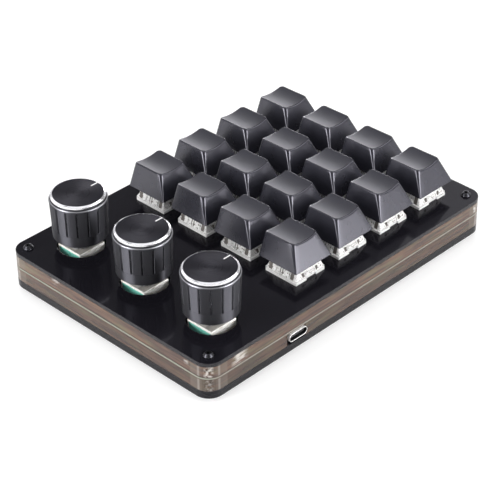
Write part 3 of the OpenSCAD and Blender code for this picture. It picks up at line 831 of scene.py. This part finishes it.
def cap_outside(s):
    """The wall, the round rim and the dish. It gives back the ring at the foot."""
    edge_share = dish_edge()
    edge = cap_wall(edge_share)
    side = cap_wall(edge_share - RIM / CAP_SLANT)
    centre = np.array([0, TOP_BACK * edge_share.mean()])
    out = edge[:, :2] - centre
    inner = edge[:, :2] - out * (RIM / np.linalg.norm(out, axis=1))[:, None]
    inner = np.column_stack([inner, dish(inner)])
    edge_mid = 0.04
    wall = [s.ring(cap_wall(0, FOOT_EDGE) * (1, 1, 0)),
            s.ring(cap_wall(0, edge_mid) * (1, 1, 0) + (0, 0, edge_mid)),
            s.ring(cap_wall(FOOT_EDGE / CAP_H)), s.ring(cap_wall((FOOT_EDGE + SUPPORT) / CAP_H))]
    wall += [s.ring(cap_wall(edge_share * t)) for t in (0.2, 0.4, 0.6, 0.8, 0.92)]
    wall.append(s.ring(cap_wall(edge_share - (RIM + SUPPORT) / CAP_SLANT)))
    rim = [s.ring((1 - t) ** 2 * side + 2 * t * (1 - t) * edge + t * t * inner)
           for t in (0, 0.2, 0.4, 0.6, 0.8, 1)]
    top = []
    for q in (0.995, 0.94, 0.85, 0.72, 0.58, 0.44, 0.3, 0.15):
        xy = centre + q * (inner[:, :2] - centre)
        top.append(s.ring(np.column_stack([xy, dish(xy)])))
    s.skin(wall + rim[:1])
    s.skin(rim, 1)
    s.skin(rim[-1:] + top)
    s.tip(top[-1], s.ring([(0, centre[1], dish(centre[None, :])[0])])[0])
    return wall[0]


def cap_hollow(s, foot):
    rings = []
    for hx, hy, r, back, z in ((7.75, 7.75, 0.35, 0, 0), (7.7, 7.7, 0.35, 0, 0.05),
                               (5.67, 6.13, 0.75, TOP_BACK * CEILING / CAP_H, CEILING)):
        rings.append(s.ring(np.column_stack([cap_ring(hx, hy, r, back), np.full(len(CAP), float(z))])))
    s.skin([foot] + rings)
    s.cap([rings[-1]], DOWN)


def cap_post(s):
    """The post in the hollow, with a cross-shaped socket for the stem."""
    foot, socket_top, r, edge = 0.3, 4.4, 2.75, 0.15
    a, b = 2.025, 0.625
    arm = [(a, -b), (a, b), (b, b)]
    cross = []
    for _ in range(4):
        cross += arm
        arm = [(-y, x) for x, y in arm]
    post = [s.level(circle(at, 40), z) for at, z in ((r - edge, foot), (r, foot + edge), (r, CEILING + 0.3))]
    s.skin(post)
    mouth = s.level(cross, foot)
    top = s.level(cross, socket_top)
    s.cap([post[0], mouth], DOWN)
    s.band(mouth, top)
    s.cap([top], DOWN)


cap = Solid()
cap_hollow(cap, cap_outside(cap))
cap_post(cap)
keycap_mesh = cap.mesh("keycap_body", [keycap_plastic, keycap_rim], 40)
for (r, c), (x, y) in KEY_AT.items():
    node = f"keycap_r{r}_c{c}"
    place(f"{node}_body", keycap_mesh, f"key_r{r}_c{c}", node, (x, y, DECK + CAP_LIFT))


# Switches

# heights here are from the deck
HOUSING = 6.97
CAVITY = 5.98
FLOOR_FOOT = -5
FLOOR_TOP = -3.8
PEG_FOOT = -8.3
PEG_TOP = -4.9
ROD_BORE_R = 0.85
RIM_TOP = 1
STEP_TOP = 1.8
ROOF = 6.6
COVER_FOOT = (7.0, 7.0)
COVER_TOP = (5.4, 5.2)
LEAN = (COVER_FOOT[0] - COVER_TOP[0]) / (ROOF - STEP_TOP)


def switch_rim():
    """The rim's outline, with two corners cut off and a notch in front and behind."""
    a, cut, notch_x, notch_d = 7.8, 1.1, 2.4, 0.75
    half = [(-a, -a), (-notch_x, -a), (-notch_x, -a + notch_d), (notch_x, -a + notch_d), (notch_x, -a),
            (a - cut, -a), (a, -a + cut)]
    return half + [(-x, -y) for x, y in half]


def base_solid():
    """The lower half of a switch: a rim on the plate, a body in its cut-out, clips and pegs."""
    s = Solid()
    cavity = rectangle(CAVITY, CAVITY)
    s.add(plate(switch_rim(), [cavity], 0, RIM_TOP, 0.12))
    s.add(plate(rectangle(HOUSING, HOUSING, 0.4, 3), [cavity], FLOOR_TOP, 0, 0.1))
    # the floor and the centre peg are bored for the stem's guide rod
    floor = rectangle(HOUSING, HOUSING, 0.4, 4)
    s.add(plate(floor, [circle(ROD_BORE_R, 24)], FLOOR_FOOT, FLOOR_TOP, 0.1))
    for side in SIDES:
        s.add(block(2.5, 0.25, -2.35, -1.55, 0.1, y=side * HOUSING))
    peg_r, bore_foot, side_peg_r, side_peg_x, tube_r, tube_top = 2, -7.1, 0.85, 5.08, 1.3, -1.2
    peg = [(0, PEG_FOOT), (peg_r, PEG_FOOT), (peg_r, PEG_TOP), (ROD_BORE_R, PEG_TOP), (ROD_BORE_R, bore_foot),
           (0, bore_foot)]
    s.add(turned(eased(peg, {1: 0.4}), 32))
    side_peg = [(0, PEG_FOOT), (side_peg_r, PEG_FOOT), (side_peg_r, PEG_TOP), (0, PEG_TOP)]
    for side in SIDES:
        s.add(turned(eased(side_peg, {1: 0.25}), 20), (side * side_peg_x, 0, 0))
    tube = [(ROD_BORE_R, FLOOR_TOP), (tube_r, FLOOR_TOP), (tube_r, tube_top), (ROD_BORE_R, tube_top)]
    s.add(turned(tube, 24, closed=True))
    return s


def cover_walls():
    """The cover's tapered walls, and its roof with an opening for the stem."""
    edge, corner, opening, opening_d = 0.25, 0.6, rectangle(3.35, 3.1), 1.2
    h = ROOF - STEP_TOP
    mid = MIDWAY * edge
    s = Solid()
    rings = []
    for t, d in ((0, edge), (mid / h, mid), (edge / h, 0), (1 - edge / h, 0), (1 - mid / h, mid), (1, edge),
                 (1, edge + SUPPORT)):
        hx, hy = (foot + (top - foot) * t - d for foot, top in zip(COVER_FOOT, COVER_TOP))
        rings.append(s.level(rectangle(hx, hy, max(corner - d, 0.1), 4), STEP_TOP + h * t))
    s.skin(rings)
    s.cap([rings[0]], DOWN)
    mouth, ledge = s.level(opening, ROOF), s.level(opening, ROOF - opening_d)
    s.cap([rings[-1], mouth], UP)
    s.band(mouth, ledge)
    return s


def wall_strip(y, base_x, rows):
    """A strip up the leaning wall. A row is z, how far out, how deep, and both half widths."""
    s = Solid()
    rings = []
    for z, out, depth, front, back in rows:
        x = base_x - max(z - STEP_TOP, 0) * LEAN
        rings.append(s.ring([(x + out, y - front, z), (x + out, y + front, z), (x - depth, y + back, z),
                             (x - depth, y - back, z)]))
    s.skin(rings)
    s.cap([rings[0]], DOWN)
    s.cap([rings[-1]], UP)
    return s


def cover_solid():
    """The upper half of a switch: a step, tapered walls with latches, and a roof round the stem."""
    s = Solid()
    s.add(plate(rectangle(7.1, 7.1, 0.5, 4), [rectangle(6.1, 6.1)], RIM_TOP, STEP_TOP, 0.12))
    s.add(cover_walls())
    for angle in (180, 0):
        turn = Matrix.Rotation(math.radians(angle), 3, "Z")
        # a window painted dark as shade on each side of a pair of latch legs that stand against the wall
        for y, half in ((-5.1, 0.7), (-0.5, 0.13), (0.5, 0.13), (5.1, 0.7)):
            rows = [(z, out, 0.4 - out, half, half) for z, out in ((1.2, 0), (1.9, 0), (4.4, -0.02))]
            s.add(wall_strip(y, 7.13, rows), turn=turn, finish=1)
        for y in (-3, 3):
            rows = [(z, out, 0.3, 0.75, 0.8)
                    for z, out in ((1.05, 0.3), (1.3, 0.42), (2.2, 0.42), (3.4, 0.2), (3.6, 0.05))]
            s.add(wall_strip(y, 7.05, rows), turn=turn)
    for angle in (0, 180):
        turn = Matrix.Rotation(math.radians(angle), 3, "Z")
        s.add(block(2.3, 0.25, 1.1, 2.6, 0.08, y=-7.05), turn=turn)
        # small marks in the front wall, in the same painted shade
        for x in (-3.4, 3.4):
            s.add(block(0.35, 0.2, 1.2, 2.9, 0.05, x=x, y=-6.93), turn=turn, finish=1)
    # the lens well for a lamp, in the roof's front edge
    well, lens = (rectangle(hx, hy, 0.2, 3, 0, -4.4) for hx, hy in ((3.0, 0.9), (2.2, 0.5)))
    s.add(plate(well, [lens], 5.2, 6.58, 0.06))
    return s


base_mesh = base_solid().mesh("switch_base_body", [switch_plastic])
cover_mesh = cover_solid().mesh("switch_cover_body", [switch_clear, switch_recess_shade])
for (r, c), (x, y) in KEY_AT.items():
    place(f"switch_base_r{r}_c{c}", base_mesh, "case", "switch_bases", (x, y, DECK))
    place(f"switch_cover_r{r}_c{c}", cover_mesh, "case", "switch_covers", (x, y, DECK))


# Encoders

# heights here are from the board
BODY_H = heights("encoder_frames")[1] - BOARD_TOP
BODY_HALF = 5.85
SHEET = 0.5


def sheet_path(inset, r):
    """The bent sheet's profile up one side, over the top and down the other."""
    half, top = BODY_HALF - inset, BODY_H - inset
    return eased([(-half, 0), (-half, top), (half, top), (half, 0)], {1: r, 2: r}, 5)


def encoder_frame_solid():
    """A sheet bent down over two sides of the encoder, with a leg on each."""
    s = Solid()
    half, edge = BODY_HALF, 0.06
    loop = sheet_path(SHEET, 0.2) + list(reversed(sheet_path(0, 0.7)))
    rings = []
    for x, d in ((-half, edge), (-half + edge, 0), (half - edge, 0), (half, edge)):
        rings.append(s.ring([(x, y, z) for y, z in moved(loop, d)]))
    s.skin(rings)
    s.cap([rings[0]], (-1, 0, 0))
    s.cap([rings[-1]], (1, 0, 0))
    for side in SIDES:
        s.add(block(0.15, half - 0.4, BODY_H - 1.05, BODY_H - 0.3, 0.1, x=side * (half - 0.16)))
    for side in SIDES:
        s.add(block(1, SHEET / 2, -2.8, 0.2, 0.08, y=side * (half - SHEET / 2)))
        # pressed ribs and the folded tabs that show on the bent side
        for x in (-4.6, -2.2, 0.2, 2.6, 4.8):
            s.add(block(0.42, 0.06, 1.2, 4.6, 0.03, x=x, y=side * (half - 0.02)))
    return s


def encoder_body_solid():
    s = block(BODY_HALF - 0.1, BODY_HALF - 0.53, 0, BODY_H - SHEET, 0.25, r=0.3)
    s.add(block(BODY_HALF - 0.5, BODY_HALF - 1.2, 0.2, 3.2, 0.2))
    return s


def bushing_solid():
    bore_r, collar_r, collar_h, edge = 3.05, 4.6, 0.8, 0.06
    root_r, crest_r, pitch, top = 3.28, 3.5, 0.38, 5.0
    path = [(bore_r, 0), (collar_r - 0.05, 0), (collar_r, edge), (collar_r, collar_h - edge),
            (collar_r - 0.05, collar_h), (crest_r, collar_h)]
    for i in range(10):
        path += [(root_r, 0.95 + i * pitch), (crest_r, 1.14 + i * pitch)]
    path += [(3.25, top - 0.15), (3.15, top), (bore_r, top)]
    return turned(path, 48, closed=True)


frame_mesh = encoder_frame_solid().mesh("encoder_frame_body", [encoder_metal], 35)
body_mesh = encoder_body_solid().mesh("encoder_body_body", [encoder_plastic])
bushing_mesh = bushing_solid().mesh("encoder_bushing_body", [shaft_metal])
for k, (x, y) in KNOB_AT.items():
    place(f"encoder_body_{k}", body_mesh, "case", "encoder_bodies", (x, y, BOARD_TOP))
    place(f"encoder_frame_{k}", frame_mesh, "case", "encoder_frames", (x, y, BOARD_TOP))
    place(f"encoder_bushing_{k}", bushing_mesh, "case", "encoder_bushings",
          (x, y, BOARD_TOP + BODY_H))


# Knobs

KNOB_R = 10.5
KNOB_FOOT_R = 9.9
KNOB_EDGE = 0.3
GROOVES = 16
GROOVE_R = 0.45
GROOVE_FOOT = 4.4
GROOVE_TOP = 14.7
SHOULDER = 15.1
SHOULDER_TOP = 15.5
RING_FOOT = 16.0
RING_R = KNOB_R - 0.62
LIP_R = KNOB_R - 1.35
LIP_TOP = 17.1
DISC = 16.98
# the places of a knob's finishes in its mesh
KNOB_FINISHES = [anodised, knob_edge, polished, spun, pointer_paint, groove_shade_paint]
WALLS, BEVEL, RING, TOP, POINTER, GROOVE = range(6)

# the points round a knob: degrees from their groove's middle, and angles from the pointer
PITCH = 360 / GROOVES
HALF_GROOVE = [0.0, 0.7, 1.4, 2.0, 2.4, 2.8, 3.6, 5.6, 8.2]
ROUND_GROOVE = [-a for a in reversed(HALF_GROOVE[1:])] + HALF_GROOVE + [PITCH / 2]
AWAY = np.array(ROUND_GROOVE * GROOVES)
THETA = np.radians([g * PITCH + a for g in range(GROOVES) for a in ROUND_GROOVE])


def knob_wall(z):
    return KNOB_FOOT_R + (KNOB_R - KNOB_FOOT_R) * (z - KNOB_EDGE) / (SHOULDER - KNOB_EDGE)


def knob_cuts():
    """How deep the grooves and the slight flats between them cut in, at each point round the knob."""
    groove_rise, flat_share = 0.08, 0.45
    sideways = KNOB_R * np.sin(np.radians(np.abs(AWAY)))
    groove = np.sqrt(np.maximum(GROOVE_R ** 2 - sideways ** 2, 0)) - groove_rise
    from_panel = np.radians(PITCH / 2 - np.abs(AWAY))
    flat = KNOB_R * (1 - math.cos(math.radians(PITCH / 2)) / np.cos(from_panel))
    return np.maximum(groove, 0) + flat_share * np.maximum(flat, 0)


def knob_profile():
    """Rows of radius, height, whether fluted, and the finish up to there, from the bore to the top."""
    bore_r, bore_top, hub_r, hub_foot, shell_r, ceiling = 3.04, 7.0, 4.8, 1.8, 8.2, 12.0
    inside = eased([(bore_r, bore_top), (bore_r, hub_foot), (hub_r, hub_foot), (hub_r, ceiling),
                    (shell_r, ceiling), (shell_r, 0), (KNOB_FOOT_R - KNOB_EDGE, 0),
                    (KNOB_FOOT_R, KNOB_EDGE), (knob_wall(2), 2)], {2: 0.2, 4: 0.5, 5: 0.15, 6: 0.1, 7: 0.15})
    rows = [(r, z, 0, WALLS) for r, z in inside]
    fluted = (GROOVE_FOOT + 0.03, GROOVE_FOOT + 0.15, 7, 9.5, 12, GROOVE_TOP - 0.15, GROOVE_TOP - 0.03)
    for z in (GROOVE_FOOT - 0.12, GROOVE_FOOT, *fluted, GROOVE_TOP):
        rows.append((knob_wall(z), z, int(z in fluted), WALLS))
    shoulder = eased([(knob_wall(14.8), 14.8), (KNOB_R, SHOULDER), (KNOB_R - 0.35, SHOULDER_TOP),
                      (KNOB_R - 0.95, SHOULDER_TOP), (KNOB_R - 0.95, RING_FOOT)], {1: 0.25, 2: 0.15})
    for r, z in shoulder:
        bright = SHOULDER + 0.1 < z < SHOULDER_TOP + 0.01 and r > KNOB_R - 0.5
        rows.append((r, z, 0, BEVEL if bright else WALLS))
    collar = eased([(KNOB_R - 0.94, RING_FOOT), (RING_R, RING_FOOT), (RING_R, 16.65), (LIP_R, LIP_TOP),
                    (LIP_R - 0.15, DISC), (LIP_R - 0.2, DISC)], {1: 0.08, 2: 0.12, 3: 0.1}, 4)
    for r, z in collar:
        rows.append((r, z, 0, TOP if r < LIP_R else RING if z > 16.5 else BEVEL))
    return rows


def paint_groove_shade(s, first):
    """Painted shade in the grooves: a darker finish on their faces in the last band."""
    in_groove = np.abs(AWAY) < 1.7
    for i, face in enumerate(s.faces[first:]):
        if in_groove[i] and in_groove[(i + 1) % len(AWAY)]:
            s.faces[first + i] = (face[0], GROOVE, False)


def pointer(s):
    """A painted line from the disc out on to the ring."""
    over, end = 0.015, LIP_R + 0.3
    rows = [(6.2, 16.94), (6.22, DISC + over), (LIP_R - 0.25, DISC + over), (LIP_R, LIP_TOP),
            (LIP_R + 0.05, LIP_TOP - 0.02), (end, 16.93), (end, 16.8)]
    lines = [s.ring([(r, -w, z) for r, z in rows]) for w in (0.27, 0.24, -0.24, -0.27)]
    s.skin(lines, POINTER, closed=False)


def knob_solid():
    s = Solid()
    cuts = knob_cuts()

    def round_ring(r, z, fluted=0):
        radius = r - fluted * cuts
        x, y = radius * np.cos(THETA), radius * np.sin(THETA)
        return s.ring(np.column_stack([x, y, np.full(len(THETA), z)]))

    rows = knob_profile()
    rings = [round_ring(r, z, fluted) for r, z, fluted, _ in rows]
    for i in range(1, len(rows)):
        first = len(s.faces)
        s.band(rings[i - 1], rings[i], rows[i][3])
        if rows[i - 1][2] and rows[i][2]:
            paint_groove_shade(s, first)
    disc = rings[-1:] + [round_ring(r, DISC) for r in (8.8, 7.0, 5.4, 3.8, 2.2, 1.0, 0.4)]
    s.skin(disc, TOP)
    s.tip(disc[-1], s.ring([(0, 0, DISC)])[0], TOP)
    pointer(s)
    return s


knob_mesh = knob_solid().mesh("knob_body", KNOB_FINISHES, 28)
for k, (x, y) in KNOB_AT.items():
    foot = heights(f"knob_{k}")[0]
    place(f"knob_{k}_body", knob_mesh, f"dial_{k}", f"knob_{k}", (x, y, foot))


# Floor, light and camera

# the lamps light the floor near the keypad, and further out it is white by itself where it's seen
ground = Finish("floor")
away = ground.node("VectorMath", {0: ground.coords()}, operation="LENGTH")
glow = ground.between(away.outputs["Value"], 0.5, 1, 0.3, 0.7)
shown = ground.rays("Camera", "Glossy", "Transmission")
ground.set(Base_Color=(0.6, 0.6, 0.6, 1), Roughness=0.9, Specular_IOR_Level=0.0,
                 Emission_Color=(1, 1, 1, 1), Emission_Strength=ground.between(shown, 0, glow, 0, 1))
FLOOR_REACH = 6.0
mesh = bpy.data.meshes.new("floor")
mesh.from_pydata([(x, y, 0) for x, y in rectangle(FLOOR_REACH, FLOOR_REACH)], [], [(0, 1, 2, 3)])
mesh.materials.append(ground.material)
floor = bpy.data.objects.new("floor", mesh)
scene.collection.objects.link(floor)

# what the dark parts mirror is a little blue
COOL = (0.97, 0.963, 1.0)

# the eye sees plain white, and mirrors see it white up to a little over the horizon and dark above
world = bpy.data.worlds.new("studio")
scene.world = world
world.use_nodes = True
sky = Nodes(world.node_tree)
mirrored = sky.rays("Glossy", "Transmission")
in_mirror = sky.between(sky.parts(sky.coords("Generated"))[2], 1.0, 0.2, 0.05, 0.55)
unseen = sky.between(mirrored, 0.4, in_mirror, 0, 1)
inputs = sky.tree.nodes["Background"].inputs
sky.put(inputs["Strength"], sky.between(sky.rays("Camera"), unseen, 1.0, 0, 1))
sky.put(inputs["Color"], sky.mix(mirrored, (1, 1, 1, 1), (*COOL, 1)))

AIM = Vector((0, 0, 15 * MM))
# name, azimuth, elevation, distance, width, height and power, in degrees, metres and watts
LAMPS = (
    ("over", 315, 85, 0.9, 1.6, 1.6, 3),
    ("right", 18, 26, 0.7, 0.5, 0.3, 3.0),
    ("left", 252, 26, 0.7, 0.5, 0.3, 3.0),
    ("low_right", 18, 8, 0.7, 0.5, 0.15, 1.3),
    ("low_left", 252, 8, 0.7, 0.5, 0.15, 1.9),
    ("back", 135, 25, 0.9, 0.6, 0.3, 2),
)
CARDS = (
    ("right", 13, 3.6, 0.7, 0.5, 0.11, 2.8),
    ("left", 257, 3.6, 0.7, 0.5, 0.11, 2.6),
    ("over", 315, 85, 0.8, 0.75, 0.75, 1.8),
    ("side", 31, 4.5, 0.7, 0.14, 0.12, 0.28),
    ("corner_right", 8, 22, 0.7, 0.44, 0.18, 2.8),
    ("corner_left", 262, 22, 0.7, 0.44, 0.18, 3.4),
    ("front_right", 22, 38, 0.7, 0.3, 0.25, 1.1),
    ("front_left", 247, 38, 0.7, 0.3, 0.25, 1.2),
    ("rim_right", 66, 46, 0.7, 0.25, 0.4, 1.5),
    ("rim_left", 194, 43, 0.7, 0.4, 0.5, 0.85),
    ("back", 128, 12, 0.9, 0.5, 0.12, 1.8),
    ("back_right", 120, 31, 0.9, 0.16, 0.2, 0.08),
)


def softbox(name, azimuth, elevation, distance, width, height, power):
    """A soft light, placed by the way it looks from above: azimuth 0 is straight along +Y from the front."""
    a, e = math.radians(azimuth), math.radians(elevation)
    back = Vector((math.sin(a) * math.cos(e), -math.cos(a) * math.cos(e), math.sin(e)))
    light = bpy.data.lights.new(name, "AREA")
    light.shape = "RECTANGLE"
    light.size, light.size_y, light.energy = width, height, power
    o = bpy.data.objects.new(name, light)
    scene.collection.objects.link(o)
    o.location = AIM + back * distance
    o.rotation_euler = back.to_track_quat("Z", "Y").to_euler()
    return o


# a lamp gives the plain level of light, and a card only shows in what mirrors it
for name, *row in LAMPS:
    softbox(f"lamp_{name}", *row).visible_glossy = False
for name, *row in CARDS:
    card = softbox(f"card_{name}", *row)
    card.data.color = COOL
    card.visible_diffuse = False

# the camera's place from the first key's on the deck, and its angles in degrees
FROM_KEY = Vector((-394.50, -366.87, 376.39))
HEADING = 45.4133
PITCH_DOWN = 34.3760
ROLL = -0.6546
camera = bpy.data.cameras.new("camera")
camera.lens = 135.32
camera.sensor_width = 36
camera.clip_start = 0.01
eye = bpy.data.objects.new("camera", camera)
scene.collection.objects.link(eye)
stand = (Vector((*KEY_AT[1, 1], DECK)) + FROM_KEY) * MM
turns = ((-HEADING, "Z"), (90 - PITCH_DOWN, "X"), (ROLL, "Z"))
turn = reduce(lambda a, b: a @ b, (Matrix.Rotation(math.radians(angle), 4, axis) for angle, axis in turns))
eye.matrix_world = Matrix.Translation(stand) @ turn
scene.camera = eye
scene.view_settings.view_transform = "Standard"
